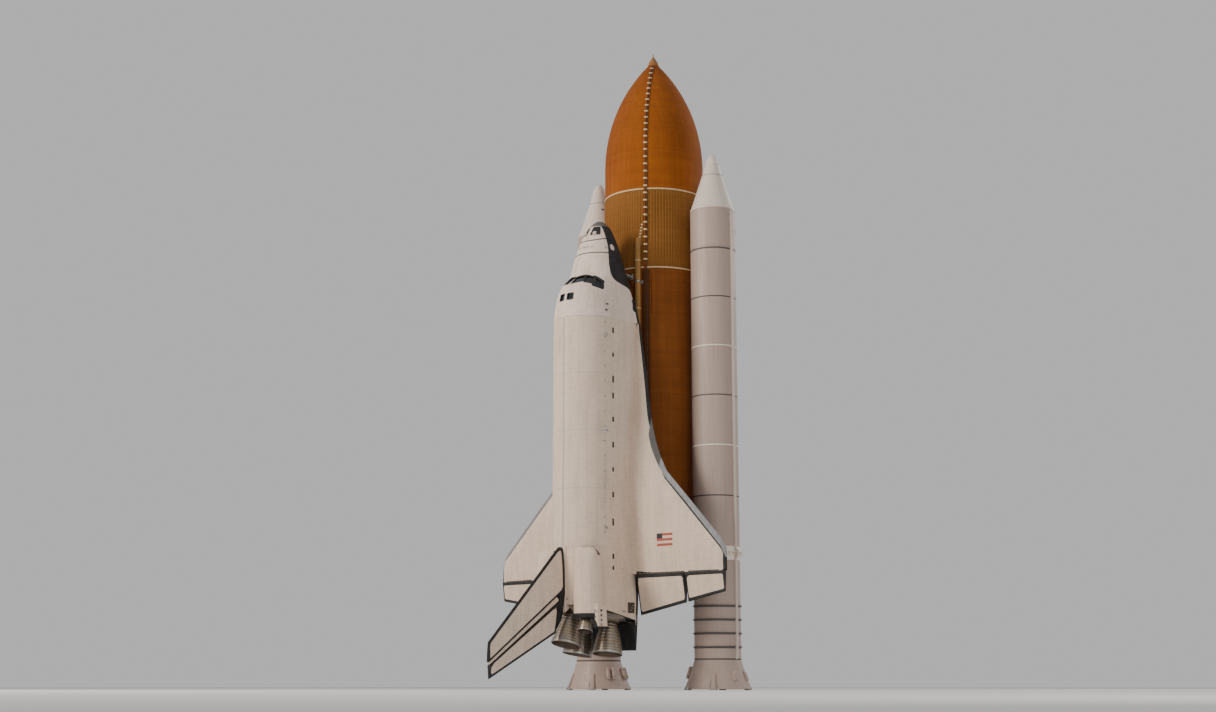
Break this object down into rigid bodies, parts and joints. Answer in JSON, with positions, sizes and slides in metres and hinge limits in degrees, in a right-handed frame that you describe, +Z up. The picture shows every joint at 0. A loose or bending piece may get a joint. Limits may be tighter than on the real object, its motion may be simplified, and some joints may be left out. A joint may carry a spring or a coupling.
{
  "type": "space shuttle launch stack, 1:2 scale model",
  "caption": "Winged orbiter with payload bay doors, on a large ogive-nosed tank with solid boosters at its sides, standing upright on hold-down feet; hinged surfaces and gimballed engines.",
  "frame": {"origin": "middle of the stack's footprint on the floor, in the plane of the hold-down feet's soles", "axes": "+Z up along the stack, nose up; -Y towards the orbiter's back and +Y towards the tank; +X towards the orbiter's starboard wing and the right booster"},
  "size_m": [11.8872, 11.7094, 27.2877],
  "materials": {
    "tank_foam": "rough sprayed foam",
    "bare_metal": "satin",
    "booster_paint": "satin paint",
    "nozzle_metal": "heat-tinted metal",
    "carbon": "matte grey carbon",
    "white_blanket": "matte white blankets and tiles",
    "black_tile": "matte black tiles",
    "window_glass": "dark glass"
  },
  "bodies": {
    "stack": {"aft_attach_left": "bare_metal", "aft_attach_right": "bare_metal", "aft_crossbeam": "tank_foam", "aft_fuselage": "black_tile", "booster_aft_ring_left": "booster_paint", "booster_aft_ring_right": "booster_paint", "booster_aft_skirt_left": "booster_paint", "booster_aft_skirt_right": "booster_paint", "booster_case_left": "booster_paint", "booster_case_right": "booster_paint", "booster_forward_skirt_left": "booster_paint", "booster_forward_skirt_right": "booster_paint", "booster_nose_left": "booster_paint", "booster_nose_right": "booster_paint", "booster_tunnel_left": "booster_paint", "booster_tunnel_right": "booster_paint", "fin": "white_blanket", "flight_deck": "bare_metal", "forward_bipod": "bare_metal", "forward_fuselage": "white_blanket", "hydrogen_feedline": "tank_foam", "hydrogen_tank": "tank_foam", "intertank": "tank_foam", "leading_edge_left": "carbon", "leading_edge_right": "carbon", "manoeuvring_pod_left": "white_blanket", "manoeuvring_pod_right": "white_blanket", "mid_fuselage": "white_blanket", "nose_cap": "carbon", "nose_section": "white_blanket", "oxygen_feedline": "tank_foam", "oxygen_tank": "tank_foam", "tank_cable_tray": "tank_foam", "tank_nose_cap": "tank_foam", "windshield": "window_glass", "wing_left": "white_blanket", "wing_right": "white_blanket"},
    "payload_bay_door_left": {"payload_bay_door_left": "white_blanket"},
    "payload_bay_door_right": {"payload_bay_door_right": "white_blanket"},
    "crew_hatch": {"crew_hatch": "white_blanket"},
    "elevon_inboard_left": {"elevon_inboard_left": "white_blanket"},
    "elevon_outboard_left": {"elevon_outboard_left": "white_blanket"},
    "elevon_inboard_right": {"elevon_inboard_right": "white_blanket"},
    "elevon_outboard_right": {"elevon_outboard_right": "white_blanket"},
    "body_flap": {"body_flap": "black_tile"},
    "main_engine_top": {"main_engine_top": "nozzle_metal"},
    "main_engine_left": {"main_engine_left": "nozzle_metal"},
    "main_engine_right": {"main_engine_right": "nozzle_metal"},
    "manoeuvring_engine_right": {"manoeuvring_engine_right": "nozzle_metal"},
    "manoeuvring_engine_left": {"manoeuvring_engine_left": "nozzle_metal"},
    "rudder_hinge_fairing": {"rudder_hinge_fairing": "black_tile"},
    "rudder_panel_right": {"rudder_panel_right": "white_blanket"},
    "rudder_panel_left": {"rudder_panel_left": "white_blanket"},
    "booster_nozzle_left": {"booster_nozzle_left": "nozzle_metal"},
    "booster_nozzle_right": {"booster_nozzle_right": "nozzle_metal"}
  },
  "joints": [
    {"name": "payload_bay_door_hinge_left", "type": "hinge", "parent": "stack", "child": "payload_bay_door_left", "pos_m": [-1.34493, -0.8255, 10.04113], "axis": [0, 0, -1], "range_deg": [0, 175.5]},
    {"name": "payload_bay_door_hinge_right", "type": "hinge", "parent": "stack", "child": "payload_bay_door_right", "pos_m": [1.34493, -0.8255, 10.04113], "axis": [0, 0, 1], "range_deg": [0, 175.5]},
    {"name": "crew_hatch_hinge", "type": "hinge", "parent": "stack", "child": "crew_hatch", "pos_m": [-1.28778, 0.4445, 15.69263], "axis": [0, 0, -1], "range_deg": [0, 90]},
    {"name": "elevon_inboard_hinge_left", "type": "hinge", "parent": "stack", "child": "elevon_inboard_left", "pos_m": [-2.7305, 0.84985, 4.38963], "axis": [0.9995, 0.0328, 0], "range_deg": [-33, 18]},
    {"name": "elevon_outboard_hinge_left", "type": "hinge", "parent": "stack", "child": "elevon_outboard_left", "pos_m": [-4.953, 0.77696, 4.38963], "axis": [0.9995, 0.0328, 0], "range_deg": [-33, 18]},
    {"name": "elevon_inboard_hinge_right", "type": "hinge", "parent": "stack", "child": "elevon_inboard_right", "pos_m": [2.7305, 0.84985, 4.38963], "axis": [0.9995, -0.0328, 0], "range_deg": [-33, 18]},
    {"name": "elevon_outboard_hinge_right", "type": "hinge", "parent": "stack", "child": "elevon_outboard_right", "pos_m": [4.953, 0.77696, 4.38963], "axis": [0.9995, -0.0328, 0], "range_deg": [-33, 18]},
    {"name": "body_flap_hinge", "type": "hinge", "parent": "stack", "child": "body_flap", "pos_m": [0, 0.8255, 2.54813], "axis": [1, 0, 0], "range_deg": [-11.7, 22.5]},
    {"name": "main_engine_top_gimbal", "type": "hinge", "parent": "stack", "child": "main_engine_top", "pos_m": [0, -1.1176, 3.65303], "axis": [0, -0.9613, 0.2756], "range_deg": [-8.5, 8.5]},
    {"name": "main_engine_left_gimbal", "type": "hinge", "parent": "stack", "child": "main_engine_left", "pos_m": [-0.6731, 0.15748, 3.35839], "axis": [0.9981, 0, -0.061], "range_deg": [-10.5, 10.5]},
    {"name": "main_engine_right_gimbal", "type": "hinge", "parent": "stack", "child": "main_engine_right", "pos_m": [0.6731, 0.15748, 3.35839], "axis": [0.9981, 0, 0.061], "range_deg": [-10.5, 10.5]},
    {"name": "manoeuvring_engine_right_gimbal", "type": "hinge", "parent": "stack", "child": "manoeuvring_engine_right", "pos_m": [1.0922, -1.6383, 3.13233], "axis": [0.9936, 0, 0.1132], "range_deg": [-6, 6]},
    {"name": "manoeuvring_engine_left_gimbal", "type": "hinge", "parent": "stack", "child": "manoeuvring_engine_left", "pos_m": [-1.0922, -1.6383, 3.13233], "axis": [0.9936, 0, -0.1132], "range_deg": [-6, 6]},
    {"name": "rudder_hinge", "type": "hinge", "parent": "stack", "child": "rudder_hinge_fairing", "pos_m": [0, -3.8735, 2.31807], "axis": [0, -0.8212, -0.5707], "range_deg": [-27.1, 27.1]},
    {"name": "speed_brake_hinge_right", "type": "hinge", "parent": "rudder_hinge_fairing", "child": "rudder_panel_right", "pos_m": [0, -3.8735, 2.31807], "axis": [0, -0.8212, -0.5707], "range_deg": [0, 49.3]},
    {"name": "speed_brake_hinge_left", "type": "hinge", "parent": "rudder_hinge_fairing", "child": "rudder_panel_left", "pos_m": [0, -3.8735, 2.31807], "axis": [0, 0.8212, 0.5707], "range_deg": [0, 49.3]},
    {"name": "booster_nozzle_gimbal_left", "type": "hinge", "parent": "stack", "child": "booster_nozzle_left", "pos_m": [-3.18135, 3.70205, 1.02413], "axis": [1, 0, 0], "range_deg": [-8, 8]},
    {"name": "booster_nozzle_gimbal_right", "type": "hinge", "parent": "stack", "child": "booster_nozzle_right", "pos_m": [3.18135, 3.70205, 1.02413], "axis": [1, 0, 0], "range_deg": [-8, 8]}
  ],
  "couplings": [
    {"joint": "speed_brake_hinge_left", "follows": "speed_brake_hinge_right", "ratio": 1}
  ]
}
